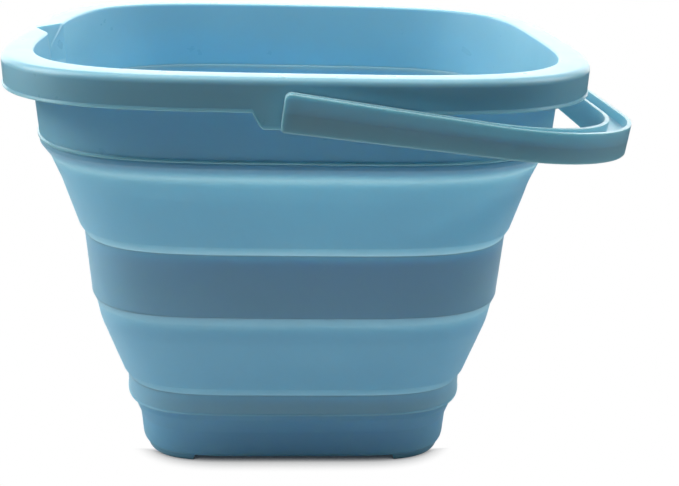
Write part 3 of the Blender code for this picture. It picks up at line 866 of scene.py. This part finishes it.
def build_floor():
    """A round white table in a dark studio, with painted shade that darkens it near the tub.

    The camera sees it white as far as it looks, with a soft painted contact shadow where the tub
    stands.
    """
    bm = bmesh.new()
    bmesh.ops.create_grid(bm, x_segments=1, y_segments=1, size=TABLE_HALF)
    bmesh.ops.translate(bm, verts=bm.verts[:], vec=(0.0, 0.0, -FOOT_HEIGHT))
    floor = make_object(bm, "floor")
    material = bpy.data.materials.new("white_table")
    material.use_nodes = True
    tree = material.node_tree
    tree.nodes.clear()
    end = add_node(tree, "ShaderNodeOutputMaterial")
    place = add_node(tree, "ShaderNodeTexCoord")
    centre = add_node(
        tree, "ShaderNodeVectorMath", {"operation": "LENGTH"}, {0: (place, "Object")}
    )
    # Painted shade: the table's colour is darker within 0.16 m of the tub's middle, so it bounces
    # less light onto the tub's lower walls
    reach = add_node(tree, "ShaderNodeValToRGB", inputs={"Fac": (centre, "Value")})
    stops = reach.color_ramp.elements
    for index, (distance, level) in enumerate(TABLE_LEVELS_AND_PAINTED_SHADE):
        stop = stops[index] if index < 2 else stops.new(distance)
        stop.position = distance
        stop.color = (level, level, level, 1.0)
    table = add_node(tree, "ShaderNodeBsdfDiffuse", inputs={"Color": (reach, "Color")})
    # Painted contact shadow: the white the camera sees is darkened where the tub hems the floor
    # in, only in front of it and behind it
    near = add_node(
        tree,
        "ShaderNodeAmbientOcclusion",
        {"samples": SHADE_SAMPLES},
        {"Distance": SHADE_DISTANCE},
    )
    across = add_node(tree, "ShaderNodeSeparateXYZ", inputs={"Vector": (place, "Object")})
    depth = add_node(tree, "ShaderNodeMath", {"operation": "ABSOLUTE"}, {0: (across, "Y")})
    beside = add_node(
        tree,
        "ShaderNodeMapRange",
        inputs={
            "Value": (depth, "Value"),
            "From Min": SHADE_FULL_Y,
            "From Max": SHADE_NONE_Y,
        },
    )
    open_air = add_node(
        tree,
        "ShaderNodeMath",
        {"operation": "MAXIMUM"},
        {0: (near, "AO"), 1: (beside, "Result")},
    )
    shade = add_node(tree, "ShaderNodeValToRGB", inputs={"Fac": (open_air, "Value")})
    shade.color_ramp.elements[0].color = SHADE_COLOUR
    shade.color_ramp.elements[0].position = SHADE_DARK
    shade.color_ramp.elements[1].position = SHADE_LIGHT
    white = add_node(tree, "ShaderNodeEmission", inputs={"Color": (shade, "Color")})
    path = add_node(tree, "ShaderNodeLightPath")
    seen = add_node(
        tree,
        "ShaderNodeMixShader",
        inputs={0: (path, "Is Camera Ray"), 1: (table, "BSDF"), 2: (white, "Emission")},
    )
    tree.links.new(seen.outputs["Shader"], end.inputs["Surface"])
    floor.data.materials.append(material)


def build_lights():
    """Five softboxes in a dark studio, whose backdrop the camera sees white."""
    world = bpy.data.worlds.new("studio")
    bpy.context.scene.world = world
    world.use_nodes = True
    tree = world.node_tree
    background = tree.nodes["Background"]
    background.inputs["Color"].default_value = (1.0, 1.0, 1.0, 1.0)
    path = add_node(tree, "ShaderNodeLightPath")
    level = add_node(
        tree,
        "ShaderNodeMapRange",
        inputs={"Value": (path, "Is Camera Ray"), "To Min": ROOM_LEVEL, "To Max": 1.0},
    )
    tree.links.new(level.outputs["Result"], background.inputs["Strength"])
    area_light("overhead", (0.0, 0.0, 1.2), (1.0, 1.0), 1.65)
    area_light("high_left", (-0.9, 0.0, 0.9), (0.8, 0.7), 4.8)
    area_light("high_right", (0.9, 0.0, 0.9), (0.8, 0.7), 3.0)
    area_light("low_left", (-1.0, -0.1, 0.3), (0.9, 0.5), 0.55)
    area_light("backdrop", (0.0, 1.4, 0.5), (3.0, 1.0), 2.1)


def build_camera():
    """A long view down the front from just above the rim."""
    level = math.cos(CAMERA_PITCH)
    right = Vector((math.cos(CAMERA_YAW), -math.sin(CAMERA_YAW), 0.0))
    forward = Vector(
        (
            math.sin(CAMERA_YAW) * level,
            math.cos(CAMERA_YAW) * level,
            -math.sin(CAMERA_PITCH),
        )
    )
    up = right.cross(forward)
    side = right * math.cos(CAMERA_ROLL) + up * math.sin(CAMERA_ROLL)
    top = up * math.cos(CAMERA_ROLL) - right * math.sin(CAMERA_ROLL)
    camera = bpy.data.objects.new("camera", bpy.data.cameras.new("camera"))
    camera.matrix_world = Matrix((side, top, -forward)).transposed().to_4x4()
    camera.location = CAMERA_PLACE
    camera.data.sensor_width = CAMERA_SENSOR
    camera.data.lens = CAMERA_LENS
    camera.data.clip_start = CAMERA_CLIP_START
    bpy.context.scene.collection.objects.link(camera)
    bpy.context.scene.camera = camera


bpy.context.scene.view_settings.view_transform = "Standard"
# Satin injection-moulded polypropylene: an even pastel with soft wide highlights. Light runs a
# few millimetres in it, so thin edges look paler than the broad faces in shade
rim_plastic = plastic(
    "satin_polypropylene_rim", "A1DAEC", roughness=0.30, glow=2.6, grain=0.004, wave=0.03
)
# The same, a little greyer, and clearer, so that the handle's thin flanges look pale
handle_plastic = plastic(
    "satin_polypropylene_handle", "A2D5E5", roughness=0.34, glow=4.0, grain=0.004, wave=0.03
)
# The same, duller and a stronger blue
tray_plastic = plastic(
    "satin_polypropylene_tray", "81C2DF", roughness=0.40, glow=2.6, grain=0.004, wave=0.03
)
# Matte moulded elastomer, soft and milky: hardly any highlight, and thin folds and hinges glow
# where light comes through them
fold_elastomer = plastic(
    "matte_elastomer_folds", "92C6DF", roughness=0.52, glow=7.0, grain=0.006, wave=0.08
)
# The same, but denser, so that the upright bands stay dark
band_elastomer = plastic(
    "matte_elastomer_bands", "91C8E0", roughness=0.50, glow=3.0, grain=0.006, wave=0.05
)

build_rim(rim_plastic)
build_handle(handle_plastic)
build_upper_fold(fold_elastomer)
build_lower_fold(fold_elastomer)
build_band(
    "middle_moulded_band",
    "middle_band",
    "middle",
    (
        MIDDLE_TOP_HALF,
        MIDDLE_TOP_Z,
        MIDDLE_BOTTOM_HALF,
        MIDDLE_BOTTOM_Z,
        MIDDLE_WALL,
        JOINT_WALL,
        0.0,
    ),
    band_elastomer,
)
build_band(
    "lower_moulded_band",
    "lower_band",
    "base",
    (
        LOWER_TOP_HALF,
        LOWER_TOP_Z,
        LOWER_BOTTOM_HALF,
        LOWER_BOTTOM_Z,
        LOWER_WALL,
        LOWER_WALL - FINE_RADIUS,
        LOWER_FLARE,
    ),
    band_elastomer,
)
build_tray(tray_plastic)
build_floor()
build_lights()
build_camera()
